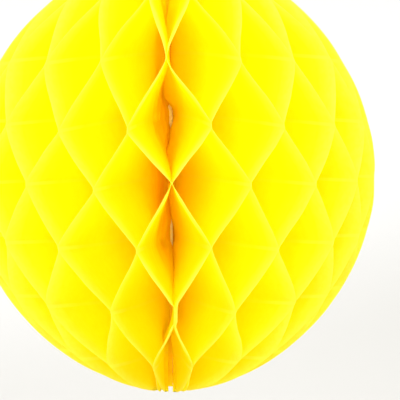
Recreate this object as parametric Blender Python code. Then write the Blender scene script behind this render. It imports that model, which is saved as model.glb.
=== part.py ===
"""Paper honeycomb ball.

Thirty-six leaves of tissue paper are bound along one vertical spine and opened round it into a full circle.
Neighbouring leaves are glued together along level lines. The lines of one cell lie halfway between the
lines of the next, so every leaf zigzags from one neighbour to the other and the rim shows diamond cells.

Frame: the origin is the ball's centre, +Z runs up the spine, and -Y points at the seam, where the first and
last leaf meet. An azimuth of 0 looks out along -Y, and azimuths grow from there towards +X.
"""

import math

import bmesh
import bpy

# Ball, in metres
POLE_RADIUS = 0.0635
EQUATOR_RADIUS = 0.0597
OUTLINE_POWER = 1.85  # 2 would make the outline an ellipse; a little less makes the shoulders leaner

# Leaves
LEAF_COUNT = 36
LEAF_THICKNESS = 0.0002
LEAF_GAP = 0.0003  # between two leaves where they are glued
SPINE_EDGE_RADIUS = 0.0030  # the leaves' straight inner edges stand this far from the spine's axis
TIP_WIDTH = 0.0015  # the blunt end of a leaf at each pole

# Glue lines, measured at the spine
LEVEL_SPACING = 0.0176  # from one cell's glue line up to its neighbour's
LAST_LEVEL = 3  # levels run from -3 to 3, with level 0 at the equator
GLUE_WIDTH = 0.0028
RIM_SHORTENING = 0.11  # the zigzag takes up this share of a leaf's height at the equator's rim

# The slit beside the spine in each seam cell, where the two end leaves aren't glued to it
SLIT_DEPTH = 0.0034
SLIT_HALF_LENGTH = 0.0100
SLIT_LEVELS = (-1, 1)

# Spine
BINDING_OUTER_RADIUS = 0.0027
BINDING_INNER_RADIUS = 0.0017
BINDING_HALF_LENGTH = 0.0570
BINDING_SLOT_HALF_ANGLE = math.radians(32)
THREAD_RADIUS = 0.0008
KNOT_RADIUS = 0.0019
KNOT_HALF_HEIGHT = 0.0017
THREAD_CLEARANCE = 0.0003

# Adhesive pads that hold the seam shut
PAD_LEVELS = {"lower": -2, "middle": 0, "upper": 2}
PAD_THICKNESS = 0.0001
PAD_HEIGHT = 0.0024
PAD_LENGTH = 0.0120
PAD_RIM_INSET = 0.0035

# Mesh fineness
COLUMNS = 2  # strips of each leaf from the spine to the rim
CROWN_ROWS = (0.0, 0.4, 0.7, 0.9, 1.0)  # rows of each leaf beyond its last glue line
ROUND_STEPS = 16
KNOT_STEPS = 6
SMOOTH_ANGLE = math.radians(40)
MERGE_DISTANCE = 1e-6

LEAF_PITCH = 2 * math.pi / LEAF_COUNT
NEIGHBOUR_OFFSET = (LEAF_THICKNESS + LEAF_GAP) / 2


def clear_scene():
    for obj in list(bpy.data.objects):
        bpy.data.objects.remove(obj)


def paper_material(name, colour, roughness):
    material = bpy.data.materials.new(name)
    material.use_nodes = True
    shader = material.node_tree.nodes["Principled BSDF"]
    shader.inputs["Base Color"].default_value = (*colour, 1.0)
    shader.inputs["Roughness"].default_value = roughness
    shader.inputs["Metallic"].default_value = 0.0
    return material


def add_object(name, mesh, material):
    obj = bpy.data.objects.new(name, mesh)
    mesh.materials.append(material)
    bpy.context.scene.collection.objects.link(obj)
    return obj


def mesh_from(shape, name):
    mesh = bpy.data.meshes.new(name)
    shape.to_mesh(mesh)
    shape.free()
    return mesh


def round_off(obj):
    """Shades a round piece smooth, but for its real edges."""
    obj.data.shade_smooth()
    obj.data.set_sharp_from_angle(angle=SMOOTH_ANGLE)


def outline_height(radius):
    """Height of the ball's outline above the equator at this distance from the axis."""
    share = min(radius / EQUATOR_RADIUS, 1.0)
    return POLE_RADIUS * (1 - share**2) ** (1 / OUTLINE_POWER)


def lowered(flat_height, radius):
    """Height of a point of an opened leaf, from its height on the flat sheet."""
    return flat_height * (1 - RIM_SHORTENING * (radius / EQUATOR_RADIUS) ** 2)


def rim_radius(flat_height):
    """Where the line at this height of the flat sheet meets the outline, found by halving."""
    low, high = 0.0, EQUATOR_RADIUS
    for _ in range(50):
        middle = (low + high) / 2
        if lowered(abs(flat_height), middle) < outline_height(middle):
            low = middle
        else:
            high = middle
    return low


def inner_radius(flat_height, is_end_leaf):
    """Distance of a leaf's inner edge from the axis. The end leaves step back at the seam's slits."""
    radius = SPINE_EDGE_RADIUS
    if is_end_leaf:
        for level in SLIT_LEVELS:
            along = abs(flat_height - level * LEVEL_SPACING) / SLIT_HALF_LENGTH
            if along < 1:
                radius += SLIT_DEPTH * math.cos(along * math.pi / 2) ** 2
    return radius


def zigzag(flat_height):
    """1 at even levels, -1 at odd ones, level across each glue line and straight in between."""
    level = round(flat_height / LEVEL_SPACING)
    beyond = max(0.0, abs(flat_height - level * LEVEL_SPACING) - GLUE_WIDTH / 2)
    value = 1 - 2 * beyond / (LEVEL_SPACING - GLUE_WIDTH)
    return value if level % 2 == 0 else -value


def row_heights():
    """Heights of a leaf's rows of points on the flat sheet, from the lower pole to the upper one."""
    half_glue = GLUE_WIDTH / 2
    rows = []
    for level in range(LAST_LEVEL + 1):
        rows += [level * LEVEL_SPACING - half_glue, level * LEVEL_SPACING + half_glue]
        if level < LAST_LEVEL:
            rows.append((level + 0.5) * LEVEL_SPACING)
    last = LAST_LEVEL * LEVEL_SPACING + half_glue
    tip = outline_height(SPINE_EDGE_RADIUS + TIP_WIDTH)
    rows += [last + share * (tip - last) for share in CROWN_ROWS[1:]]
    upper = [height for height in rows if height > 0]
    return [-height for height in reversed(upper)] + upper


def leaf_point(number, flat_height, radius):
    """A point of the middle surface of an opened leaf."""
    side = -1 if number % 2 else 1
    swing = LEAF_PITCH / 2 - math.asin(NEIGHBOUR_OFFSET / radius)
    azimuth = (number - 0.5) * LEAF_PITCH + side * zigzag(flat_height) * swing
    return (
        radius * math.sin(azimuth),
        -radius * math.cos(azimuth),
        lowered(flat_height, radius),
    )


def add_leaf(number, material):
    """One tissue leaf: a zigzag sheet from the spine to the rim, given its thickness by a Solidify."""
    name = f"leaf_{number:02d}"
    is_end_leaf = number in (1, LEAF_COUNT)
    shape = bmesh.new()
    rows = []
    for height in row_heights():
        inner = inner_radius(height, is_end_leaf)
        outer = rim_radius(height)
        radii = [inner + (outer - inner) * column / COLUMNS for column in range(COLUMNS + 1)]
        rows.append([shape.verts.new(leaf_point(number, height, radius)) for radius in radii])
    for lower, upper in zip(rows, rows[1:]):
        for column in range(COLUMNS):
            shape.faces.new(
                (lower[column], lower[column + 1], upper[column + 1], upper[column])
            )
    leaf = add_object(name, mesh_from(shape, name), material)
    solidify = leaf.modifiers.new("thickness", "SOLIDIFY")
    solidify.thickness = LEAF_THICKNESS
    solidify.offset = 0.0
    solidify.use_even_offset = True
    return leaf


def add_spine_binding(material):
    """The glued strip that the leaves' straight edges are bound to: a tube, open along the seam."""
    start = BINDING_SLOT_HALF_ANGLE
    turn = 2 * math.pi - 2 * start
    azimuths = [start + turn * step / ROUND_STEPS for step in range(ROUND_STEPS + 1)]
    shape = bmesh.new()
    profile = [
        shape.verts.new(
            (radius * math.sin(azimuth), -radius * math.cos(azimuth), -BINDING_HALF_LENGTH)
        )
        for radius, sweep in (
            (BINDING_OUTER_RADIUS, azimuths),
            (BINDING_INNER_RADIUS, reversed(azimuths)),
        )
        for azimuth in sweep
    ]
    face = shape.faces.new(profile)
    made = bmesh.ops.extrude_face_region(shape, geom=[face])
    moved = [item for item in made["geom"] if isinstance(item, bmesh.types.BMVert)]
    bmesh.ops.translate(shape, verts=moved, vec=(0, 0, 2 * BINDING_HALF_LENGTH))
    bmesh.ops.recalc_face_normals(shape, faces=shape.faces)
    binding = add_object("spine_binding", mesh_from(shape, "spine_binding"), material)
    round_off(binding)
    return binding


def add_binding_thread(material):
    """The cotton thread inside the binding, with a knot at each end that keeps the leaves on it."""
    knot_middle = BINDING_HALF_LENGTH + THREAD_CLEARANCE + KNOT_HALF_HEIGHT
    meets_thread = math.asin(THREAD_RADIUS / KNOT_RADIUS)
    turn = math.pi - meets_thread
    angles = [meets_thread + turn * step / KNOT_STEPS for step in range(KNOT_STEPS + 1)]
    knot = [
        (KNOT_RADIUS * math.sin(angle), knot_middle - KNOT_HALF_HEIGHT * math.cos(angle))
        for angle in angles
    ]
    outline = [(radius, -height) for radius, height in reversed(knot)] + knot
    shape = bmesh.new()
    points = [shape.verts.new((radius, 0.0, height)) for radius, height in outline]
    edges = [shape.edges.new(pair) for pair in zip(points, points[1:])]
    bmesh.ops.spin(
        shape,
        geom=points + edges,
        axis=(0, 0, 1),
        cent=(0, 0, 0),
        steps=ROUND_STEPS,
        angle=2 * math.pi,
    )
    bmesh.ops.remove_doubles(shape, verts=shape.verts, dist=MERGE_DISTANCE)
    bmesh.ops.recalc_face_normals(shape, faces=shape.faces)
    thread = add_object("binding_thread", mesh_from(shape, "binding_thread"), material)
    round_off(thread)
    return thread


def add_seam_pad(where, level, material):
    """A thin adhesive pad between the end leaves, on one of the seam's glue lines, behind the rim."""
    flat_height = level * LEVEL_SPACING
    outer = rim_radius(flat_height) - PAD_RIM_INSET
    inner = outer - PAD_LENGTH
    shape = bmesh.new()
    corners = []
    for radius, side in ((inner, -1), (outer, -1), (outer, 1), (inner, 1)):
        height = lowered(flat_height, radius) + side * PAD_HEIGHT / 2
        corners.append(shape.verts.new((-PAD_THICKNESS / 2, -radius, height)))
    face = shape.faces.new(corners)
    made = bmesh.ops.extrude_face_region(shape, geom=[face])
    moved = [item for item in made["geom"] if isinstance(item, bmesh.types.BMVert)]
    bmesh.ops.translate(shape, verts=moved, vec=(PAD_THICKNESS, 0, 0))
    bmesh.ops.recalc_face_normals(shape, faces=shape.faces)
    name = f"seam_pad_{where}"
    return add_object(name, mesh_from(shape, name), material)


def main():
    clear_scene()
    tissue = paper_material("tissue", (1.0, 0.86, 0.02), 0.9)
    glued_edge = paper_material("glued_edge", (0.95, 0.72, 0.05), 0.8)
    cotton = paper_material("cotton", (0.93, 0.88, 0.74), 0.95)
    adhesive = paper_material("adhesive", (0.96, 0.93, 0.72), 0.4)
    for number in range(1, LEAF_COUNT + 1):
        add_leaf(number, tissue)
    add_spine_binding(glued_edge)
    add_binding_thread(cotton)
    for where, level in PAD_LEVELS.items():
        add_seam_pad(where, level, adhesive)


main()
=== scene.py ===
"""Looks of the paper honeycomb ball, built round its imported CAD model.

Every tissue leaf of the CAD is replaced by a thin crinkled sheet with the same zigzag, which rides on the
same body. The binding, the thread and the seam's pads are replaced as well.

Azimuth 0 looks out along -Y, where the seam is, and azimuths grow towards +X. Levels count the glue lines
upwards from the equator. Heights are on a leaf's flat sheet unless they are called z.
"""

import functools
import math
import random

import bmesh
import bpy
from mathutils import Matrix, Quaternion, Vector, noise


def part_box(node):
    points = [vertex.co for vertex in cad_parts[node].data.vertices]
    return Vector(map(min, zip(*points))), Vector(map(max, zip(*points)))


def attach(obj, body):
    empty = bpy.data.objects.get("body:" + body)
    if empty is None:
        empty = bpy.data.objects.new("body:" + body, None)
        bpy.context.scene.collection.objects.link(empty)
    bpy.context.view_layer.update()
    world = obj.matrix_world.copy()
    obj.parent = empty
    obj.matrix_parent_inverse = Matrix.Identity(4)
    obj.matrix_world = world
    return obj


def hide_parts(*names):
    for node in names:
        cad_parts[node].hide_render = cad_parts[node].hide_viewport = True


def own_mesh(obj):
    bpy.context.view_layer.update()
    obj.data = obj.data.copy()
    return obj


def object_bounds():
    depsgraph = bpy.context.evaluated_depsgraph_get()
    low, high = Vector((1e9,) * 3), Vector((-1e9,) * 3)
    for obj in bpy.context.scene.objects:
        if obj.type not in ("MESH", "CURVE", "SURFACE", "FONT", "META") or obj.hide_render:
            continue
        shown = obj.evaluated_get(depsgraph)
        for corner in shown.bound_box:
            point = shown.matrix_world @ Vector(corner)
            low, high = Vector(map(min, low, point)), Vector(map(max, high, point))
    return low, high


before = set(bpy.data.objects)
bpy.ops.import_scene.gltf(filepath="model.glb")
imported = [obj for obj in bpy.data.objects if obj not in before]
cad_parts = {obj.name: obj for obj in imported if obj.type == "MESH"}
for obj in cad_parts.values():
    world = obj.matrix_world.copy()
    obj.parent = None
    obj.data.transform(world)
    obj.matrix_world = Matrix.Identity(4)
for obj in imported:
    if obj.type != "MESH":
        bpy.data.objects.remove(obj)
cad_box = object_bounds()

# ---------------------------------------------------------------- sizes, in metres

MM = 0.001
LEAF_COUNT = 36
LEAF_PITCH = 2 * math.pi / LEAF_COUNT
LEVEL_SPACING = 17.6 * MM  # between neighbouring glue lines, at the spine
LAST_LEVEL = 3  # glued levels run from -3 to 3
RIM_SHORTENING = 0.11  # the zigzag takes up this share of a leaf's height at the equator's rim
OUTLINE_POWER = 1.85  # 2 would make the outline an ellipse; a little less makes the shoulders leaner
TIP_FULLNESS = 1.15 * MM  # how much further the leaves reach close to the poles
TIP_FULLNESS_WIDTH = 17.0 * MM
HALVINGS = 40  # steps of the search for the rim
EQUATOR_RADIUS = (cad_box[1].y - cad_box[0].y) / 2
POLE_RADIUS = 1.003 * (cad_box[1].z - cad_box[0].z) / 2  # the leaves' blunt tips stop just short of it
BINDING_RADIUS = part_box("spine_binding")[1].x

SHEET = 0.06 * MM  # thickness of one tissue leaf
CONTACT = 0.04 * MM  # from a glue line to the middle surface of either leaf that it joins
EDGE_RADIUS = BINDING_RADIUS + 0.3 * MM  # the leaves' bound edges
TIP_WIDTH = 1.5 * MM
TIP_RADIUS = EDGE_RADIUS + TIP_WIDTH
GLUE_LENGTH = (0.5 * MM, 2.0 * MM)  # shortest and longest joint along the rim
SEAM_GLUE_LENGTH = {0: 0.3 * MM, -2: 3.2 * MM, 2: 0.8 * MM}  # the seam's own joints, by level

ROWS_PER_LEVEL = 20
COLUMNS = 28
CROWDING = 0.88  # how far the columns crowd towards the bound edge and the rim, from 0 to 1
SHARP_FOLD = math.radians(60)  # leaves are shaded smooth across folds softer than this
SHARP_CORNER = math.radians(50)  # the same for the spine's pieces and the glue

# ---------------------------------------------------------------- the leaves' shape

SWAY = math.radians(0.8)  # spread of the glue lines' azimuths about their true places
LIFT = 0.35 * MM  # the same for their heights
FARTHEST = (1.8, 2.0)  # the most that a line may stray round and up, in spreads
CALM_RADIUS = 0.25 * EQUATOR_RADIUS  # nearer the spine than this, the lines stray less and less
CURL_AT_RIM = 0.05  # how much of each wall's rise is an S-curve; the rest is straight
CURL_AT_SPINE = 0.9
SWELLING = 0.07  # the most that a wall bulges, as a share of the room between two leaves
DENT = 0.035  # the same for the soft dents in it
DENT_SIZE = (9.0 * MM, 7.0 * MM)  # outwards, upwards
CRINKLE = 0.16  # the same for the fine crinkles near the bound edge
CRINKLE_SIZE = (3.0 * MM, 1.8 * MM)
CRINKLE_REACH = 7.0 * MM
CUT_WOBBLE = 0.12 * MM  # unevenness of the cut rim
CUT_WOBBLE_LENGTH = 6.0 * MM
CUT_WOBBLE_FROM = 20.0 * MM  # nearer the poles than this, the cut grows truer
NOISE_STEP = {"dent": 3.7, "crinkle": 1.9, "cut": 5.3}  # from one leaf to the next, so no two are alike
NODE_PLACES = {  # glue lines that stand off their true places, by gap and level: degrees round, mm up
    (0, 2): (-1.3, 0.6),
    (2, 2): (0.9, 0.0),
    (6, 2): (2.7, 0.8),
    (34, 2): (-0.8, -0.1),
    (35, 1): (-1.0, -1.0),
    (33, 1): (0.0, -1.4),
    (1, 1): (0.1, 0.1),
    (3, 1): (0.2, -0.5),
    (5, 1): (-0.2, -0.7),
    (7, 1): (2.8, -0.4),
    (0, 0): (0.1, 1.7),
    (2, 0): (-0.5, 1.0),
    (4, 0): (-1.3, 0.3),
    (6, 0): (-0.3, 0.0),
    (32, 0): (1.0, 0.8),
    (35, -1): (1.1, 0.5),
    (1, -1): (0.0, 1.1),
    (3, -1): (-1.6, -0.3),
    (5, -1): (-0.7, -0.3),
    (0, -2): (0.5, -0.8),
    (2, -2): (-1.0, -0.7),
    (34, -2): (1.6, -0.5),
    (32, -2): (-1.4, -0.4),
    (35, -3): (1.3, 0.0),
    (1, -3): (-1.3, 0.0),
    (3, -3): (0.9, 1.1),
}
DRIFT = ((4, 0.0), (8, -5.0), (11, -5.0), (17, 0.0))  # gap, and degrees that its leaves have slipped round
TIP_DROOP = 0.9 * MM  # how much further the end leaves reach at the poles than the others
TIP_DROOP_REACH = 7.0 * MM
SLIT_DEPTH = 3.0 * MM
SLIT_HALF_LENGTH = {1: 5.5 * MM, -1: 5.0 * MM}
SEAM_CLOSURE = {1: 9.0 * MM, LEAF_COUNT: 12.0 * MM}  # how far out each end leaf is drawn to the other
UPPER_CLOSURE = 6.0 * MM  # the same, at the upper end of both
UPPER_CLOSURE_LEVELS = (1.2, 1.8)  # where one gives way to the other
SPINE_REACH = (6.5 * MM, 4.0 * MM)  # how far out the spine's own wander is felt: in general, at the poles
SEAM_LINE = (  # where the end leaves meet beside the spine: level, and millimetres to the right of the axis
    (-3.6, -1.5), (-2.8, -1.2), (-2.3, 0.1), (-1.8, 0.4), (-1.0, 0.1), (-0.4, -0.5), (0.0, -0.2),
    (0.3, -1.1), (0.6, -0.4), (1.0, 0.1), (1.35, -1.5), (2.0, -0.9), (2.8, -1.2), (3.6, -1.5),
)
POLE_OPENING_LEVELS = (2.2, 3.5)  # where the seam begins to gape, and where it is wide open
POLE_SPREAD = (1.2 * MM, 0.8 * MM)  # from the seam's line to the left and to the right end leaf there
SPREAD_AT_EDGE = 0.3  # share of that at the bound edge itself
TIP_SPREAD = 1.6 * MM  # how much further the right one turns away at its tip
TIP_SPREAD_REACH = 3.0 * MM
POLE_SPREAD_REACH = (14.0 * MM, 32.0 * MM)  # where the spread begins to fade, and where it has gone
POLE_SWIRL = math.radians(14)  # how far the leaves are wound round beside the spine at the poles
POLE_SWIRL_REACH = 3.6 * MM
END_FLARE = 0.6 * MM  # how far the end leaves' rims turn aside
END_FLARE_SHARES = (0.25, 0.6)  # fully turned from here to here, in levels from the nearest seam joint
FLARE = 0.25 * MM  # how far the other leaves' rims turn aside
FLARE_WIDTH = 1.7 * MM
FLARE_FADE = 12.0 * MM  # how soon the wall behind the turned rim comes back to its own line
BENT_JOINT_LEVEL = -2  # the seam's longest joint
BENT_JOINT_HALF_LENGTH = 3.4 * MM
JOINT_BEND = 0.8 * MM  # how far the joint's rim is bent over
JOINT_BEND_WIDTH = 2.4 * MM  # how far in from the rim the bend goes
CRUMPLED_LEAVES = (LEAF_COUNT - 1, LEAF_COUNT)
CRUMPLED_COLUMNS = 72
CRUMPLED_LEVELS = (-1.6, 1.8)  # the ends of the crushed stretch
CRUMPLE_FADE = 0.5  # levels over which it begins and ends
CRUMPLE = 1.7 * MM  # how far the folds are pushed to the left
CRUMPLE_START = 8.0 * MM  # distance from the bound edge at which they are at their full depth
CRUMPLE_REACH = 34.0 * MM  # where they have gone; they fade from half this radius on
FOLD_SIZE = (3.4 * MM, 26.0 * MM)  # outwards, upwards
FOLD_PLACE = 4.2  # where in the noise the folds are taken from
FOLD_LEAST = 0.35  # share of the push that even the flattest stretch has
FOLD_CONTRAST = 2.6  # how soon the noise brings the full push
FOLD_SHADE_REACH = {  # how far out each crumpled leaf has painted fold shade, at the equator and below it
    LEAF_COUNT - 1: 20 * MM,
    LEAF_COUNT: 50 * MM,
}
FOLD_SHADE_NARROWING = 8 * MM  # how much less far at each level above the equator
FOLD_SHADE_FADE = (0.5, 1.1)  # shares of that reach where the painted fold shade begins to fade, and where it has gone
NOTCHES = (  # where a bound edge has come off the spine: leaf, level, half length, depth
    (2, 0.10, 3.6 * MM, 5.2 * MM),
    (3, 0.10, 3.3 * MM, 4.8 * MM),
)


def smooth(share):
    """An S-shaped rise from 0 to 1, level beyond both ends."""
    share = min(1.0, max(0.0, share))
    return share * share * (3 - 2 * share)


def outline_height(radius):
    """Height of the ball's outline above the equator at this distance from the axis."""
    share = min(radius / EQUATOR_RADIUS, 1.0)
    fuller = TIP_FULLNESS * math.exp(-((radius / TIP_FULLNESS_WIDTH) ** 2))
    return POLE_RADIUS * (1 - share**2) ** (1 / OUTLINE_POWER) + fuller


def lowered(flat_height, radius):
    """Height of a point of an opened leaf, from its height on the flat sheet."""
    return flat_height * (1 - RIM_SHORTENING * (radius / EQUATOR_RADIUS) ** 2)


@functools.lru_cache(maxsize=None)
def rim_radius(flat_height):
    """Where the line at this height of the flat sheet meets the outline, found by halving."""
    low, high = 0.0, EQUATOR_RADIUS
    for _ in range(HALVINGS):
        middle = (low + high) / 2
        if lowered(abs(flat_height), middle) < outline_height(middle):
            low = middle
        else:
            high = middle
    return low


@functools.lru_cache(maxsize=None)
def node_place(gap, level):
    """How far a glue line stands off its true azimuth and height. Both leaves at the gap use the same."""
    key = (gap % LEAF_COUNT, level)
    if key in NODE_PLACES:
        degrees, rise = NODE_PLACES[key]
        return math.radians(degrees), rise * MM
    draw = random.Random(f"node {key}")
    round_limit, up_limit = FARTHEST
    sway = SWAY * max(-round_limit, min(round_limit, draw.gauss(0, 1)))
    lift = LIFT * max(-up_limit, min(up_limit, draw.gauss(0, 1)))
    return sway, lift


def eased_between(points, place):
    """The value at this place, eased from each point of a table to the next, and level beyond its ends."""
    if place <= points[0][0]:
        return points[0][1]
    for (low, low_value), (high, high_value) in zip(points, points[1:]):
        if place <= high:
            return low_value + smooth((place - low) / (high - low)) * (high_value - low_value)
    return points[-1][1]


@functools.lru_cache(maxsize=None)
def drift(gap):
    """How far the leaves at this gap have slipped round, all together."""
    return math.radians(eased_between(DRIFT, gap))


@functools.lru_cache(maxsize=None)
def glue_length(gap, level):
    """Length of a joint along the rim."""
    if gap % LEAF_COUNT == 0:
        return SEAM_GLUE_LENGTH.get(level, GLUE_LENGTH[0])
    return random.Random(f"glue {gap} {level}").uniform(*GLUE_LENGTH)


def joined_gap(number, level):
    """The gap at whose glue line this leaf is joined at this level: the one before it or the one after."""
    before = number - 1
    return before if (before + level) % 2 == 0 else number


def glue_line(number, level, radius):
    """Azimuth of a leaf's middle surface on one of its glue lines, and how far the line is lifted."""
    gap = joined_gap(number, level)
    side = 1 if gap < number else -1
    swing = side * math.asin(min(1.0, CONTACT / radius))
    calm = min(1.0, radius / CALM_RADIUS)
    sway, lift = node_place(gap, level)
    return gap * LEAF_PITCH + calm * (sway + drift(gap)) + swing, lift


def ease(share, radius):
    """A wall's rise from one glue line to the next: stretched straight at the rim, slack near the spine."""
    curl = CURL_AT_SPINE + (CURL_AT_RIM - CURL_AT_SPINE) * min(1.0, radius / EQUATOR_RADIUS) ** 1.5
    return (1 - curl) * share + curl * smooth(share)


def drawn_straight(share, level, radius):
    """Evens out a wall's rise so that its free rim runs straight between nodes at different radii."""
    low_rim = max(TIP_RADIUS, rim_radius(level * LEVEL_SPACING))
    high_rim = max(TIP_RADIUS, rim_radius((level + 1) * LEVEL_SPACING))
    straight = share * high_rim / (share * high_rim + (1 - share) * low_rim)
    weight = min(1.0, radius / (share * high_rim + (1 - share) * low_rim)) ** 2
    return share + weight * (straight - share)


def leaf_place(number, height, radius):
    """Azimuth and height of a point of an opened leaf's middle surface."""
    level = math.floor(height / LEVEL_SPACING)
    along = height - level * LEVEL_SPACING
    low_glue = glue_length(joined_gap(number, level), level) / 2
    high_glue = glue_length(joined_gap(number, level + 1), level + 1) / 2
    free = LEVEL_SPACING - low_glue - high_glue
    share = min(1.0, max(0.0, (along - low_glue) / free))
    low_azimuth, low_lift = glue_line(number, level, radius)
    high_azimuth, high_lift = glue_line(number, level + 1, radius)
    rise = drawn_straight(ease(share, radius), level, radius)
    azimuth = low_azimuth + rise * (high_azimuth - low_azimuth)
    lift = low_lift + (high_lift - low_lift) * along / LEVEL_SPACING
    return azimuth, lowered(height, radius) + lift * radius / EQUATOR_RADIUS, share


@functools.lru_cache(maxsize=None)
def swelling(number, level):
    """How far the wall above this level bulges to one side or the other."""
    return random.Random(f"bulge {number} {level}").uniform(-SWELLING, SWELLING)


def wall_bulge(number, height, radius, share, reach):
    """A soft dent or swelling of a wall between its glue lines, and fine crinkles near the bound edge."""
    level = math.floor(height / LEVEL_SPACING)
    room = radius * LEAF_PITCH
    swell = swelling(number, level) * math.sin(math.pi * reach**0.8)
    out, up = DENT_SIZE
    dent_place = Vector((radius / out, height / up, number * NOISE_STEP["dent"]))
    dent = DENT * noise.noise(dent_place)
    out, up = CRINKLE_SIZE
    crinkle_place = Vector((radius / out, height / up, number * NOISE_STEP["crinkle"]))
    near = math.exp(-((radius - EDGE_RADIUS) / CRINKLE_REACH) ** 2)
    crinkle = CRINKLE * near * noise.noise(crinkle_place)
    return room * math.sin(math.pi * share) * (swell + dent + crinkle)


def crumpled_zone(level):
    """1 over the stretch of the spine beside which the last two leaves are crushed, and 0 beyond it."""
    low, high = CRUMPLED_LEVELS
    return smooth((level - low) / CRUMPLE_FADE) * smooth((high - level) / CRUMPLE_FADE)


def crushed(number, height, radius):
    """How much painted shade of the crumpled folds the last two leaves have at this place, from 0 to 1."""
    if number not in CRUMPLED_LEAVES:
        return 0.0
    level = height / LEVEL_SPACING
    reach = FOLD_SHADE_REACH[number] - FOLD_SHADE_NARROWING * max(0.0, level)
    fades_from, gone = FOLD_SHADE_FADE
    return crumpled_zone(level) * (1 - smooth((radius / reach - fades_from) / (gone - fades_from)))


def crumple(number, height, radius):
    """Folds that run up the last two leaves where they were crushed beside the spine, bent to the left.

    Both leaves have the same folds, strongest at the odd levels, where they are glued together.
    """
    if number not in CRUMPLED_LEAVES:
        return 0.0
    level = height / LEVEL_SPACING
    zone = crumpled_zone(level)
    zone *= smooth((radius - EDGE_RADIUS) / CRUMPLE_START)
    zone *= smooth((CRUMPLE_REACH - radius) / (CRUMPLE_REACH / 2))
    from_even = abs(level / 2 - round(level / 2)) * 2
    out, up = FOLD_SIZE
    fold = abs(noise.noise(Vector((radius / out, height / up, FOLD_PLACE))))
    push = FOLD_LEAST + (1 - FOLD_LEAST) * min(1.0, FOLD_CONTRAST * fold)
    return -CRUMPLE * zone * math.sin(math.pi / 2 * from_even) * push


def slit_opening(height):
    """0 where the seam is closed beside the spine, rising to 1 in the middle of each slit."""
    for level, half_length in SLIT_HALF_LENGTH.items():
        along = abs(height - level * LEVEL_SPACING) / half_length
        if along < 1:
            return math.cos(along * math.pi / 2) ** 2
    return 0.0


def pole_opening(height):
    """0 over the middle of the ball, rising to 1 at the poles, where the seam gapes."""
    begins, wide_open = POLE_OPENING_LEVELS
    return smooth((abs(height) / LEVEL_SPACING - begins) / (wide_open - begins))


def bound_edge(number, height):
    """Distance of a leaf's inner edge from the axis. The end leaves step back at the seam's slits."""
    if number in (1, LEAF_COUNT):
        return EDGE_RADIUS + SLIT_DEPTH * slit_opening(height)
    for leaf, level, half_length, depth in NOTCHES:
        along = abs(height - level * LEVEL_SPACING) / half_length
        if leaf == number and along < 1:
            return EDGE_RADIUS + depth * math.cos(along * math.pi / 2) ** 2
    return EDGE_RADIUS


def seam_line(height):
    """Sideways place of the line where the end leaves meet beside the spine."""
    return MM * eased_between(SEAM_LINE, height / LEVEL_SPACING)


def closed_seam(number, height, radius, azimuth):
    """Draws the end leaves together beside the spine, where their bound edges meet between the slits."""
    if number not in SEAM_CLOSURE:
        return azimuth
    begins, ends = UPPER_CLOSURE_LEVELS
    upper = smooth((height / LEVEL_SPACING - begins) / (ends - begins))
    usual = SEAM_CLOSURE[number]
    depth = (radius - EDGE_RADIUS) / (usual + upper * (UPPER_CLOSURE - usual))
    seam, side = (0.0, 1) if number == 1 else (2 * math.pi, -1)
    meets = seam + side * math.asin(CONTACT / radius)
    hold = max(0.0, 1 - depth) * (1 - slit_opening(height)) * (1 - pole_opening(height))
    return azimuth + hold * (meets - azimuth)


def pole_spread(radius):
    """How far the left and the right end leaf stand off the seam's line at the poles, as angles."""
    fades_from, gone = POLE_SPREAD_REACH
    share = SPREAD_AT_EDGE + (1 - SPREAD_AT_EDGE) * smooth((radius - EDGE_RADIUS) / TIP_WIDTH)
    share *= (1 - smooth((radius - fades_from) / (gone - fades_from))) / radius
    left, right = POLE_SPREAD
    right += TIP_SPREAD * math.exp(-(((radius - TIP_RADIUS) / TIP_SPREAD_REACH) ** 2))
    return share * left, share * right


def wandering_spine(height, radius, azimuth):
    """Turns every leaf with the spine's wander, and crowds them all away from the seam where it gapes."""
    usual, at_poles = SPINE_REACH
    reach = usual + pole_opening(height) * (at_poles - usual)
    fade = math.exp(-(((radius - EDGE_RADIUS) / reach) ** 2))
    turn = fade * math.asin(seam_line(height) / EDGE_RADIUS)
    left, right = (angle * pole_opening(height) for angle in pole_spread(radius))
    round_share = azimuth / (2 * math.pi)
    swirl = POLE_SWIRL * pole_opening(height) * (1 - smooth((radius - EDGE_RADIUS) / POLE_SWIRL_REACH))
    return azimuth + turn + swirl + right * (1 - round_share) - left * round_share


def rim_flare(number, height, inset):
    """How far a leaf stands back beside its turned rim, which faces outwards on its true line."""
    level = math.floor(height / LEVEL_SPACING)
    share = height / LEVEL_SPACING - level
    bend = 1 - max(0.0, 1 - inset / FLARE_WIDTH) ** 2
    back = -bend * math.exp(-((inset / FLARE_FADE) ** 2))
    if number in (1, LEAF_COUNT):
        if abs(height) >= LAST_LEVEL * LEVEL_SPACING:
            return 0.0
        from_seam = share if level % 2 == 0 else 1 - share
        side = 1 if number == 1 else -1
        full_from, full_to = END_FLARE_SHARES
        turned = smooth(from_seam / full_from) * (1 - smooth((from_seam - full_to) / (1 - full_to)))
        return END_FLARE * back * side * turned
    low_side = 1 if joined_gap(number, level) < number else -1
    turned = low_side * (share * (1 - share) ** 2 - (1 - share) * share**2) * 4
    return FLARE * back * turned


def bent_joint(number, height, inset):
    """The seam's longest joint, whose doubled rim is bent over to the right."""
    along = abs(height - BENT_JOINT_LEVEL * LEVEL_SPACING) / BENT_JOINT_HALF_LENGTH
    if number not in (1, LEAF_COUNT) or along >= 1:
        return 0.0
    return JOINT_BEND * (1 - smooth(2 * along - 1)) * max(0.0, 1 - inset / JOINT_BEND_WIDTH) ** 2


def row_heights():
    """Heights of a leaf's rows of points on the flat sheet, from the lower tip to the upper one."""
    tip = outline_height(TIP_RADIUS)
    half = round(tip / LEVEL_SPACING * ROWS_PER_LEVEL)
    return [tip * step / half for step in range(-half, half + 1)]


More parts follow.
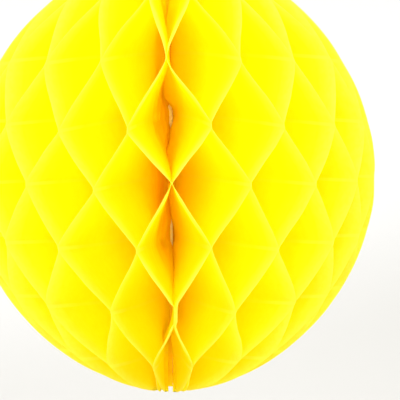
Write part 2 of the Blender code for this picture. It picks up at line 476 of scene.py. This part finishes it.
def cut_wobble(number, height, outer):
    """How far the cut rim stands out here beyond its true line."""
    place = Vector((height / CUT_WOBBLE_LENGTH, number * NOISE_STEP["cut"], 0.0))
    return min(1.0, outer / CUT_WOBBLE_FROM) * CUT_WOBBLE * noise.noise(place)


def column_count(number):
    """Strips of a leaf from its bound edge to its rim."""
    return CRUMPLED_COLUMNS if number in CRUMPLED_LEAVES else COLUMNS


def tip_droop(number, height, radius):
    """How far an end leaf reaches further than the others, up or down, at a pole."""
    if number not in (1, LEAF_COUNT):
        return 0.0
    droop = TIP_DROOP * pole_opening(height) * math.exp(-((radius / TIP_DROOP_REACH) ** 2))
    return math.copysign(droop, height)


def leaf_grid(number):
    """The leaf's middle surface by row and column: each point, its place on the flat sheet, its painted
    fold shade.
    """
    grid = []
    columns = column_count(number)
    for height in row_heights():
        inner = bound_edge(number, height)
        outer = rim_radius(height)
        outer += cut_wobble(number, height, outer)
        row = []
        for column in range(columns + 1):
            even = column / columns
            reach = even - CROWDING * math.sin(2 * math.pi * even) / (2 * math.pi)
            radius = inner + (outer - inner) * reach
            azimuth, z, share = leaf_place(number, height, radius)
            azimuth += wall_bulge(number, height, radius, share, reach) / radius
            azimuth += crumple(number, height, radius) / radius
            azimuth = closed_seam(number, height, radius, azimuth)
            azimuth = wandering_spine(height, radius, azimuth)
            inset = outer - radius
            azimuth += (rim_flare(number, height, inset) + bent_joint(number, height, inset)) / radius
            z += tip_droop(number, height, radius)
            point = (radius * math.sin(azimuth), -radius * math.cos(azimuth), z)
            # The last value is the painted shade of the crumpled folds.
            row.append((point, (radius, height, inset), crushed(number, height, radius)))
        grid.append(row)
    return grid


def solid_sheet(obj, thickness):
    """Gives a sheet its thickness and keeps the result as the object's own mesh."""
    solidify = obj.modifiers.new("thickness", "SOLIDIFY")
    solidify.thickness = thickness
    solidify.offset = 0.0
    bpy.context.view_layer.update()
    evaluated = obj.evaluated_get(bpy.context.evaluated_depsgraph_get())
    mesh = bpy.data.meshes.new_from_object(evaluated)
    obj.modifiers.clear()
    obj.data = mesh
    mesh.name = obj.name


def add_object(name, mesh, material):
    """Puts a mesh into the scene under this name."""
    obj = bpy.data.objects.new(name, mesh)
    bpy.context.scene.collection.objects.link(obj)
    mesh.materials.append(material)
    return obj


def add_leaf(number, material):
    """One tissue leaf, on its body."""
    name = f"tissue_leaf_{number:02d}"
    grid = leaf_grid(number)
    points, flat, painted_fold_shade = zip(*(point for row in grid for point in row))
    width = column_count(number) + 1
    corners = [row * width + column for row in range(len(grid) - 1) for column in range(width - 1)]
    faces = [(corner, corner + 1, corner + width + 1, corner + width) for corner in corners]
    mesh = bpy.data.meshes.new(name)
    mesh.from_pydata(points, [], faces)
    sheet = mesh.attributes.new("sheet", "FLOAT_VECTOR", "POINT")
    sheet.data.foreach_set("vector", [value for place in flat for value in place])
    mesh.attributes.new("painted_fold_shade", "FLOAT", "POINT").data.foreach_set("value", painted_fold_shade)
    mesh.shade_smooth()
    leaf = add_object(name, mesh, material)
    solid_sheet(leaf, SHEET)
    leaf.data.set_sharp_from_angle(angle=SHARP_FOLD)
    body = "leaf_01_and_spine" if number == 1 else f"leaf_{number:02d}"
    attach(leaf, body)
    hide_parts(f"leaf_{number:02d}")
    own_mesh(leaf)


# ---------------------------------------------------------------- the spine and the seam's glue

WRAP_BORE = 1.85 * MM  # inner radius of the wrap, where it has room for it
WRAP_THINNEST = 0.35 * MM
WRAP_CLEARANCE = 0.06 * MM
WRAP_HALF_LENGTH = 63.6 * MM
PLEAT_DEPTH = 0.08 * MM
WRAP_CREASE = 0.06 * MM  # depth of the creases across the pleats
WRAP_CREASE_LENGTH = 2.5 * MM
PAINTED_SHADE_CORE = 0.3  # share of a painted shade patch's area that is fully dark
PAINTED_SHADE_PATCHES = (  # painted shade on the spine, in the dark gaps beside the slits and notches: azimuth in degrees, level, half width in degrees, half length
    (34, 0.85, 19, 7.0 * MM),
    (37, -1.0, 22, 7.0 * MM),
    (30, 0.25, 18, 3.5 * MM),
)
WRAP_SLOT = (math.radians(1.5), math.radians(36))  # half the slot's angle: closed up, and at the slits
WRAP_STEPS = 108  # round the wrap
WRAP_ROWS = 190  # along it
THREAD_RADIUS = 0.9 * MM
THREAD_PLIES = 3
THREAD_TWIST = 4.2 * MM  # length of one full turn of the plies
THREAD_ROW = 0.35 * MM
THREAD_WANDER = (  # level, and millimetres to the right of the axis
    (-3.4, 0.0), (-2.0, 0.3), (-1.0, -0.5), (0.0, 0.1), (0.8, -0.15), (1.3, -0.7), (2.2, 0.2), (3.4, 0.0),
)
THREAD_FORWARD = 0.5 * MM  # how far it lies from the axis towards the seam
THREAD_BOW = 1.2 * MM  # how much further it bows out at a slit
THREAD_SWAY = 0.15 * MM  # its own waver to and fro
THREAD_SWAY_LENGTH = 6.0 * MM
THREAD_SIDES = 24
PLY_GROOVE = 0.3  # depth of the groove between two plies, as a share of the strand's radius
KNOT_HEIGHT = 58.0 * MM  # where the knot begins
KNOT_LENGTH = 2.0 * MM
KNOT_OVERLAP = 0.4 * MM  # how far the thread runs up into it
KNOT_TURNS = 2.6
KNOT_RADIUS = 1.15 * MM
KNOT_SWELL = 0.12 * MM  # how much wider it is at half its length
KNOT_STRAND = 0.55 * MM
KNOT_STRAND_TWIST = 9 * math.pi  # over its whole length
KNOT_STRAND_END = 0.35  # thickness of the strand's cut ends, as a share of the rest
KNOT_STRAND_TAPER = 6.0  # how fast it thickens from there, in full thicknesses per strand length
KNOT_RINGS = 100
KNOT_SIDES = 18
GLUE_SQUEEZE = 0.45 * MM  # how far the glue swells out above and below the joint
GLUE_FILL = 0.62  # share of the room between the leaves that it fills
GLUE_RUN = 12.0 * MM  # length of a bead
GLUE_INSET = 6.0 * MM  # how far behind the rim it begins
GLUE_RINGS = 24
GLUE_ROWS = 8


def skin(name, rings, material):
    """A closed mesh through rings of points, each ring running round the piece."""
    count = len(rings[0])
    points = [point for ring in rings for point in ring]
    faces = []
    for row in range(len(rings) - 1):
        for step in range(count):
            here, after = row * count + step, row * count + (step + 1) % count
            faces.append((here, after, after + count, here + count))
    mesh = bpy.data.meshes.new(name)
    mesh.from_pydata(points, [], faces)
    shape = bmesh.new()
    shape.from_mesh(mesh)
    bmesh.ops.holes_fill(shape, edges=[edge for edge in shape.edges if edge.is_boundary], sides=0)
    bmesh.ops.recalc_face_normals(shape, faces=shape.faces)
    shape.to_mesh(mesh)
    shape.free()
    mesh.shade_smooth()
    mesh.set_sharp_from_angle(angle=SHARP_CORNER)
    return add_object(name, mesh, material)


def painted_shade_at(azimuth, height):
    """How much painted shade lies at this place of the spine, from 0 to 1."""
    darkest = 0.0
    for degrees, level, half_width, half_length in PAINTED_SHADE_PATCHES:
        across = (math.degrees(azimuth) - degrees + 180) % 360 - 180
        along = (height - level * LEVEL_SPACING) / half_length
        darkest = max(darkest, 1 - smooth((across / half_width) ** 2 + along**2 - PAINTED_SHADE_CORE))
    return darkest


def flattened_edge(height):
    """How far from the axis the leaves' bound edges stay when every leaf is flattened to its own middle."""
    nearest = EDGE_RADIUS
    for number in range(1, LEAF_COUNT + 1):
        radius = bound_edge(number, height)
        azimuth, _, _ = leaf_place(number, height, radius)
        azimuth = wandering_spine(height, radius, closed_seam(number, height, radius, azimuth))
        nearest = min(nearest, radius * math.cos(azimuth - (number - 0.5) * LEAF_PITCH))
    return nearest


def add_wrap(material):
    """The strip that the leaves are bound to: a pleated tube, slit down the seam."""
    rings = []
    painted_shades = []
    for row in range(WRAP_ROWS + 1):
        z = WRAP_HALF_LENGTH * (2 * row / WRAP_ROWS - 1)
        closed, opened = WRAP_SLOT
        start = closed + (opened - closed) * slit_opening(z)
        outer = flattened_edge(z) - WRAP_CLEARANCE
        inner = min(WRAP_BORE, outer - WRAP_THINNEST)
        ring = []
        for radius, is_outside in ((outer, True), (inner, False)):
            for step in range(WRAP_STEPS + 1):
                share = step / WRAP_STEPS if is_outside else 1 - step / WRAP_STEPS
                azimuth = start + share * 2 * (math.pi - start)
                pleat = (1 + math.cos(azimuth * LEAF_COUNT)) / 2
                place = Vector((math.sin(azimuth), math.cos(azimuth), z / WRAP_CREASE_LENGTH))
                crease = (1 + noise.noise(2 * place)) / 2
                reach = radius - PLEAT_DEPTH * pleat - WRAP_CREASE * crease
                ring.append((reach * math.sin(azimuth), -reach * math.cos(azimuth), z))
                # painted shade in the dark gaps beside the slits and notches
                painted_shades.append(painted_shade_at(azimuth, z))
        rings.append(ring)
    wrap = skin("spine_wrap", rings, material)
    wrap.data.attributes.new("painted_shade", "FLOAT", "POINT").data.foreach_set("value", painted_shades)
    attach(wrap, "leaf_01_and_spine")
    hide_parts("spine_binding")


def thread_centre(height):
    """The thread wanders a little, and bows out towards the seam's slits."""
    sideways = MM * eased_between(THREAD_WANDER, height / LEVEL_SPACING)
    forward = THREAD_FORWARD + THREAD_BOW * slit_opening(height) ** 2
    forward -= THREAD_SWAY * math.sin(height / THREAD_SWAY_LENGTH)
    return Vector((sideways, -forward, height))


def strand_ring(centre, across, up, radius, turn, sides):
    """One ring of a twisted strand: a round section with a groove between each ply and the next."""
    ring = []
    for step in range(sides):
        angle = 2 * math.pi * step / sides
        groove = 1 - abs(math.cos(THREAD_PLIES * (angle - turn) / 2))
        reach = radius * (1 - PLY_GROOVE * groove**2)
        ring.append(centre + reach * (math.cos(angle) * across + math.sin(angle) * up))
    return ring


def add_thread(material):
    """The cotton thread inside the spine."""
    top = KNOT_HEIGHT + KNOT_OVERLAP
    right, back = Vector((1, 0, 0)), Vector((0, 1, 0))
    count = round(2 * top / THREAD_ROW)
    rings = []
    for row in range(count + 1):
        z = top * (2 * row / count - 1)
        turn = 2 * math.pi * z / THREAD_TWIST
        rings.append(strand_ring(thread_centre(z), right, back, THREAD_RADIUS, turn, THREAD_SIDES))
    thread = skin("cotton_thread", rings, material)
    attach(thread, "leaf_01_and_spine")
    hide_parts("binding_thread")


def add_knot(where, side, material):
    """The thread's end wound round itself into a stopper knot."""
    up = Vector((0, 0, 1))
    rings = []
    for step in range(KNOT_RINGS + 1):
        share = step / KNOT_RINGS
        angle = 2 * math.pi * KNOT_TURNS * share
        outward = Vector((math.cos(angle), math.sin(angle), 0.0))
        spread = KNOT_RADIUS - KNOT_STRAND + KNOT_SWELL * math.sin(math.pi * share)
        centre = spread * outward + side * (KNOT_HEIGHT + KNOT_LENGTH * share) * up
        radius = KNOT_STRAND * min(1.0, KNOT_STRAND_END + KNOT_STRAND_TAPER * min(share, 1 - share))
        rings.append(strand_ring(centre, outward, up, radius, KNOT_STRAND_TWIST * share, KNOT_SIDES))
    knot = skin(f"stopper_knot_{where}", rings, material)
    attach(knot, "leaf_01_and_spine")


def add_seam_glue(where, level, material):
    """A bead of glue between the end leaves that swells a little out of the joint, above and below."""
    flat_height = level * LEVEL_SPACING
    outer = rim_radius(flat_height) - GLUE_INSET
    half = glue_length(0, level) / 2 + GLUE_SQUEEZE
    middle, _ = node_place(0, level)
    rings = []
    for step in range(GLUE_RINGS + 1):
        radius = outer - GLUE_RUN * step / GLUE_RINGS
        ring = []
        for number, seam, rise in ((LEAF_COUNT, 2 * math.pi, half), (1, 0.0, -half)):
            for row in range(GLUE_ROWS + 1):
                offset = rise * (2 * row / GLUE_ROWS - 1)
                wall, z, _ = leaf_place(number, flat_height + offset, radius)
                azimuth = middle + GLUE_FILL * (wall - seam - middle)
                ring.append((radius * math.sin(azimuth), -radius * math.cos(azimuth), z))
        rings.append(ring)
    bead = skin(f"seam_glue_{where}", rings, material)
    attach(bead, "leaf_01_and_spine")
    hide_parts(f"seam_pad_{where}")
    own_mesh(bead)


# ---------------------------------------------------------------- materials

# Glue lines: a paler band, partly the glue itself and partly a painted highlight, strongest near the rim.
GLUE_LINE_WIDTH = 1.5 * MM
GLUE_LINE_EDGE = (0.15 * GLUE_LINE_WIDTH, 0.5 * GLUE_LINE_WIDTH)  # from its middle: fully glued, and dry
GLUE_LINE_FADE = 12.0 * MM  # how far in from the rim the glue lines go on fading
GLUE_LINE_AND_HIGHLIGHT_STRENGTH = (0.55, 0.08)  # at the rim, and where they have faded
PAINTED_RIM_LIGHT_REACH = 18.0 * MM  # how far in from the cut rim the painted rim light goes on fading, so that the tissue deepens in colour
# The tissue's yellow with painted light: paler and bluer near the cut rim, where more light falls, and a
# little lighter deep in the cells to lift their shade.
PAINTED_RIM_LIGHT_TO_DEPTH = (
    (0.0, (1.0, 0.96, 0.20)),
    (0.09, (1.0, 0.955, 0.13)),
    (0.3, (1.0, 0.95, 0.03)),
    (0.6, (1.0, 0.96, 0.006)),
    (1.0, (1.0, 0.98, 0.003)),
)
MOTTLE = ((0.35, (1.0, 0.975, 0.7)), (0.68, (1.0, 1.0, 1.0)))
GLUED_TISSUE_AND_HIGHLIGHT = (1.0, 0.99, 0.20, 1.0)
PAINTED_FOLD_SHADE_COLOUR = (1.0, 0.90, 0.004, 1.0)
TISSUE_LETS_THROUGH = 0.7  # share of the light
WRAP_PAPER = ((0.35, (1.0, 0.80, 0.003)), (0.65, (1.0, 0.90, 0.006)))
# The colour of the painted shade in the dark gaps on the spine.
WRAP_PAINTED_SHADE = ((0.35, (0.30, 0.10, 0.006)), (0.65, (0.55, 0.24, 0.012)))
WRAP_LETS_THROUGH = 0.5
COTTON = ((0.3, (1.0, 0.97, 0.20)), (0.7, (1.0, 1.0, 0.34)))
CLEAR_GLUE = ((0.35, (1.0, 0.90, 0.03)), (0.7, (1.0, 0.95, 0.08)))
BACKDROP_TONES_AND_PAINTED_SHADE = ((0.755, 0.753, 0.747, 1.0), (0.600, 0.592, 0.566, 1.0))  # above, and below the ball, where the painted shade is full
PAINTED_SHADE_LEAN = (0.16, 0.0, -1.0)  # the direction in which the painted shade darkens it
PAINTED_SHADE_FALL = (0.10, 0.42)  # how far that way the painted shade begins, and where it is full


def new_material(name):
    """An empty node material, and its tree."""
    material = bpy.data.materials.new(name)
    material.use_nodes = True
    material.node_tree.nodes.clear()
    return material, material.node_tree


def node(tree, kind, **values):
    """Adds a node, and sets its inputs or its own properties by name."""
    made = tree.nodes.new(kind)
    for key, value in values.items():
        if key in made.inputs:
            made.inputs[key].default_value = value
        else:
            setattr(made, key, value)
    return made


def feed(tree, source, target):
    """Gives an input a link from a socket, or a fixed value."""
    if isinstance(source, bpy.types.NodeSocket):
        tree.links.new(source, target)
    else:
        target.default_value = source


def attribute(tree, name, output):
    """What a mesh stores at its points under this name."""
    return node(tree, "ShaderNodeAttribute", attribute_name=name).outputs[output]


def object_place(tree):
    """Where a point lies on its own object."""
    return node(tree, "ShaderNodeTexCoord").outputs["Object"]


def stretched(tree, place, scale):
    """The same place, with its three directions scaled."""
    made = node(tree, "ShaderNodeMapping")
    made.inputs["Scale"].default_value = scale
    tree.links.new(place, made.inputs["Vector"])
    return made.outputs["Vector"]


def noise_at(tree, place, **looks):
    """A cloudy value that changes from place to place."""
    made = node(tree, "ShaderNodeTexNoise", **looks)
    tree.links.new(place, made.inputs["Vector"])
    return made.outputs["Fac"]


def colour_ramp(tree, value, stops):
    """The colour that a row of stops gives for this value."""
    made = node(tree, "ShaderNodeValToRGB")
    elements = made.color_ramp.elements
    while len(elements) < len(stops):
        elements.new(1.0)
    for element, (position, colour) in zip(elements, stops):
        element.position = position
        element.color = (*colour, 1)
    tree.links.new(value, made.inputs["Fac"])
    return made.outputs["Color"]


def map_range(tree, value, before, after=(0.0, 1.0), kind="LINEAR"):
    """Moves a value from one range to another, and stops at its ends."""
    made = node(tree, "ShaderNodeMapRange", interpolation_type=kind)
    for name, end in zip(("From Min", "From Max", "To Min", "To Max"), (*before, *after)):
        made.inputs[name].default_value = end
    tree.links.new(value, made.inputs["Value"])
    return made.outputs["Result"]


def calculate(tree, operation, first, second):
    """The result of a sum whose terms are sockets or fixed values."""
    made = node(tree, "ShaderNodeMath", operation=operation)
    feed(tree, first, made.inputs[0])
    feed(tree, second, made.inputs[1])
    return made.outputs["Value"]


def mixed(tree, factor, under, over, blend="MIX"):
    """One colour laid over another by this much."""
    made = node(tree, "ShaderNodeMix", data_type="RGBA", blend_type=blend)
    feed(tree, factor, made.inputs["Factor"])
    feed(tree, under, made.inputs["A"])
    feed(tree, over, made.inputs["B"])
    return made.outputs["Result"]


def bumps(tree, heights, strength, distance):
    """The surface's normal, made uneven."""
    made = node(tree, "ShaderNodeBump", Strength=strength, Distance=distance)
    tree.links.new(heights, made.inputs["Height"])
    return made.outputs["Normal"]


def scattering(tree, colour, normal, roughness, specular=0.5, transmission=0.0):
    """Shader of the light that comes back from a surface."""
    made = node(tree, "ShaderNodeBsdfPrincipled", Roughness=roughness)
    made.inputs["Specular IOR Level"].default_value = specular
    made.inputs["Transmission Weight"].default_value = transmission
    tree.links.new(colour, made.inputs["Base Color"])
    tree.links.new(normal, made.inputs["Normal"])
    return made.outputs["BSDF"]


def thin_sheet(tree, front, share, colour, normal=None):
    """Shader of a sheet that sends this share of its light on to its other side, in this colour."""
    back = node(tree, "ShaderNodeBsdfTranslucent")
    tree.links.new(colour, back.inputs["Color"])
    if normal is not None:
        tree.links.new(normal, back.inputs["Normal"])
    made = node(tree, "ShaderNodeMixShader", Fac=share)
    tree.links.new(front, made.inputs[1])
    tree.links.new(back.outputs["BSDF"], made.inputs[2])
    return made.outputs["Shader"]


def set_surface(tree, shader):
    """Ends a material with this shader."""
    out = node(tree, "ShaderNodeOutputMaterial")
    tree.links.new(shader, out.inputs["Surface"])


def tissue_material():
    """Thin dyed tissue: it scatters light both ways, has painted light that makes it paler towards its cut
    rim, a paler band along its glue lines that is partly painted highlight, painted shade in streaks where
    the last leaves are crumpled, and shows its fibres.
    """
    material, tree = new_material("yellow_tissue_with_painted_light")
    sheet = attribute(tree, "sheet", "Vector")
    split = node(tree, "ShaderNodeSeparateXYZ")
    tree.links.new(sheet, split.inputs[0])
    height, inset = split.outputs["Y"], split.outputs["Z"]

    # Painted light: the tissue is paler towards its rim and a little lighter deep in the cells.
    dye = colour_ramp(tree, map_range(tree, inset, (0.0, PAINTED_RIM_LIGHT_REACH)), PAINTED_RIM_LIGHT_TO_DEPTH)
    cloud = noise_at(tree, sheet, Scale=420.0, Detail=5.0, Roughness=0.6)
    mottled = mixed(tree, 1.0, dye, colour_ramp(tree, cloud, MOTTLE), blend="MULTIPLY")

    # Glue lines, paler partly from the glue and partly as a painted highlight.
    from_line = calculate(tree, "PINGPONG", height, LEVEL_SPACING / 2)
    glue = map_range(tree, from_line, GLUE_LINE_EDGE, (1.0, 0.0), kind="SMOOTHSTEP")
    fading = map_range(tree, inset, (0.0, GLUE_LINE_FADE), GLUE_LINE_AND_HIGHLIGHT_STRENGTH)
    glued = mixed(tree, calculate(tree, "MULTIPLY", glue, fading), mottled, GLUED_TISSUE_AND_HIGHLIGHT)

    # Painted shade of the crumpled folds, in streaks up the last two leaves.
    up_the_leaf = stretched(tree, sheet, (1.0, 0.06, 0.0))
    streaks = noise_at(tree, up_the_leaf, Scale=520.0, Detail=2.0, Distortion=0.4)
    streaks = map_range(tree, streaks, (0.38, 0.6), (0.15, 1.0), kind="SMOOTHSTEP")
    painted_fold_streaks = calculate(tree, "MULTIPLY", attribute(tree, "painted_fold_shade", "Fac"), streaks)
    colour = mixed(tree, painted_fold_streaks, glued, PAINTED_FOLD_SHADE_COLOUR)

    fibres = noise_at(tree, sheet, Scale=1500.0, Detail=3.0, Roughness=0.7, Distortion=1.5)
    normal = bumps(tree, fibres, 0.25, 0.02 * MM)
    front = scattering(tree, colour, normal, roughness=0.85, specular=0.1)
    set_surface(tree, thin_sheet(tree, front, TISSUE_LETS_THROUGH, colour, normal))
    return material


def wrap_material():
    """The binding's dyed paper, browner and darker in patches of painted shade beside the slits and
    notches, and a little blotched.
    """
    material, tree = new_material("glued_paper_with_painted_shade")
    blotch = noise_at(tree, object_place(tree), Scale=600.0, Detail=4.0, Roughness=0.6)
    paper = colour_ramp(tree, blotch, WRAP_PAPER)
    # The darker brown ramp is painted shade.
    glue = colour_ramp(tree, blotch, WRAP_PAINTED_SHADE)
    colour = mixed(tree, attribute(tree, "painted_shade", "Fac"), paper, glue)
    normal = bumps(tree, blotch, 0.4, 0.05 * MM)
    front = scattering(tree, colour, normal, roughness=0.6, specular=0.12)
    set_surface(tree, thin_sheet(tree, front, WRAP_LETS_THROUGH, colour))
    return material


def cotton_material():
    """Cream cotton, with fine fibres lying along the twist."""
    material, tree = new_material("cream_cotton")
    along = stretched(tree, object_place(tree), (1.0, 1.0, 0.2))
    fibres = noise_at(tree, along, Scale=9000.0, Detail=3.0, Roughness=0.6)
    normal = bumps(tree, fibres, 0.5, 0.03 * MM)
    set_surface(tree, scattering(tree, colour_ramp(tree, fibres, COTTON), normal, roughness=0.9))
    return material


def glue_material():
    """Dried clear adhesive, tinted by the tissue's dye and cloudy in places."""
    material, tree = new_material("dried_glue")
    cloud = noise_at(tree, object_place(tree), Scale=900.0, Detail=2.0)
    normal = bumps(tree, cloud, 0.2, 0.02 * MM)
    colour = colour_ramp(tree, cloud, CLEAR_GLUE)
    set_surface(tree, scattering(tree, colour, normal, roughness=0.3, transmission=0.5))
    return material


def backdrop_material():
    """Matt seamless paper, with painted shade that makes it warmer and greyer towards the floor on the
    right.
    """
    material, tree = new_material("backdrop_paper_with_painted_shade")
    place = object_place(tree)
    lean = node(tree, "ShaderNodeVectorMath", operation="DOT_PRODUCT")
    lean.inputs[1].default_value = PAINTED_SHADE_LEAN
    tree.links.new(place, lean.inputs[0])
    # Painted shade, towards the floor on the right.
    painted_shade_share = map_range(tree, lean.outputs["Value"], PAINTED_SHADE_FALL, kind="SMOOTHSTEP")
    above, below = BACKDROP_TONES_AND_PAINTED_SHADE
    grain = noise_at(tree, place, Scale=900.0, Detail=2.0)
    normal = bumps(tree, grain, 0.05, 0.2 * MM)
    set_surface(tree, scattering(tree, mixed(tree, painted_shade_share, above, below), normal, roughness=0.9))
    return material


# ---------------------------------------------------------------- camera, stage and light

CAMERA_DISTANCE = 6.0 * EQUATOR_RADIUS
CAMERA_ELEVATION = math.radians(4.2)
CAMERA_ROLL = math.radians(0.4)
LENS = 108.8  # millimetres
SENSOR_WIDTH = 36.0
FRAME_SHIFT = (0.0715, -0.0675)  # of the frame past the ball's centre, in frame widths
CAMERA_CLIP = (0.01, 20.0)
FLOOR_HEIGHT = -0.8
BACK_WALL = 1.6  # behind the ball
BACKDROP_TOP = 3.0
BACKDROP_FRONT = -3.0
BACKDROP_HALF_WIDTH = 4.0
BACKDROP_BEND = 0.9  # radius
BACKDROP_BEND_STEPS = 12
LIGHTS = (  # name, place, size, power in watts
    ("front", (-0.12, -1.3, 0.25), 0.75, 14.8),
    ("key", (-0.9, -0.6, 0.9), 0.9, 8.0),
    ("fill", (1.0, -0.7, 0.4), 1.0, 8.0),
    ("back", (0.0, 1.2, 0.8), 1.2, 16.0),
)
WORLD_STRENGTH = 1.15
BOUNCES = 64  # light goes on from leaf to leaf deep inside the cells, and deepens in colour there
DIFFUSE_BOUNCES = 48
EXPOSURE = -0.20


def add_camera():
    """A long lens a little above the equator, looking straight at the seam."""
    data = bpy.data.cameras.new("camera")
    data.lens = LENS
    data.sensor_width = SENSOR_WIDTH
    data.shift_x, data.shift_y = FRAME_SHIFT
    data.clip_start, data.clip_end = CAMERA_CLIP
    camera = bpy.data.objects.new("camera", data)
    back = Vector((0.0, -math.cos(CAMERA_ELEVATION), math.sin(CAMERA_ELEVATION)))
    camera.location = back * CAMERA_DISTANCE
    camera.rotation_mode = "QUATERNION"
    facing = (-back).to_track_quat("-Z", "Y")
    camera.rotation_quaternion = facing @ Quaternion((0, 0, 1), -CAMERA_ROLL)
    bpy.context.scene.collection.objects.link(camera)
    bpy.context.scene.camera = camera


def add_stage():
    """A pale floor well below the hanging ball, curving up into a backdrop."""
    bend_y, bend_z = BACK_WALL - BACKDROP_BEND, FLOOR_HEIGHT + BACKDROP_BEND
    profile = [(BACKDROP_FRONT, FLOOR_HEIGHT)]
    for step in range(BACKDROP_BEND_STEPS + 1):
        angle = math.pi / 2 * step / BACKDROP_BEND_STEPS
        profile.append((bend_y + BACKDROP_BEND * math.sin(angle), bend_z - BACKDROP_BEND * math.cos(angle)))
    profile.append((BACK_WALL, BACKDROP_TOP))
    shape = bmesh.new()
    left = [shape.verts.new((-BACKDROP_HALF_WIDTH, y, z)) for y, z in profile]
    right = [shape.verts.new((BACKDROP_HALF_WIDTH, y, z)) for y, z in profile]
    for i in range(len(profile) - 1):
        shape.faces.new((left[i], right[i], right[i + 1], left[i + 1]))
    mesh = bpy.data.meshes.new("backdrop")
    shape.to_mesh(mesh)
    shape.free()
    mesh.shade_smooth()
    stage = add_object("backdrop", mesh, backdrop_material())


def add_light(name, place, size, power):
    """A square soft light that faces the ball and isn't seen itself."""
    data = bpy.data.lights.new(name, "AREA")
    data.shape = "SQUARE"
    data.size = size
    data.energy = power
    light = bpy.data.objects.new(name, data)
    light.location = place
    light.rotation_mode = "QUATERNION"
    light.rotation_quaternion = (-Vector(place)).to_track_quat("-Z", "Y")
    bpy.context.scene.collection.objects.link(light)
    light.visible_camera = False


def add_lights():
    """The soft lights and an even white surround, and how light bounces and is exposed."""
    world = bpy.data.worlds.new("studio")
    world.use_nodes = True
    world.node_tree.nodes["Background"].inputs["Color"].default_value = (1, 1, 1, 1)
    world.node_tree.nodes["Background"].inputs["Strength"].default_value = WORLD_STRENGTH
    bpy.context.scene.world = world
    for light in LIGHTS:
        add_light(*light)
    light_paths = bpy.context.scene.cycles
    light_paths.max_bounces = BOUNCES
    light_paths.diffuse_bounces = DIFFUSE_BOUNCES
    light_paths.transmission_bounces = BOUNCES
    bpy.context.scene.view_settings.view_transform = "Standard"
    bpy.context.scene.view_settings.exposure = EXPOSURE


# ---------------------------------------------------------------- build

add_camera()
add_stage()
add_lights()
tissue = tissue_material()
for number in range(1, LEAF_COUNT + 1):
    add_leaf(number, tissue)
add_wrap(wrap_material())
cotton = cotton_material()
add_thread(cotton)
add_knot("lower", -1, cotton)
add_knot("upper", 1, cotton)
glue = glue_material()
add_seam_glue("lower", -2, glue)
add_seam_glue("middle", 0, glue)
add_seam_glue("upper", 2, glue)
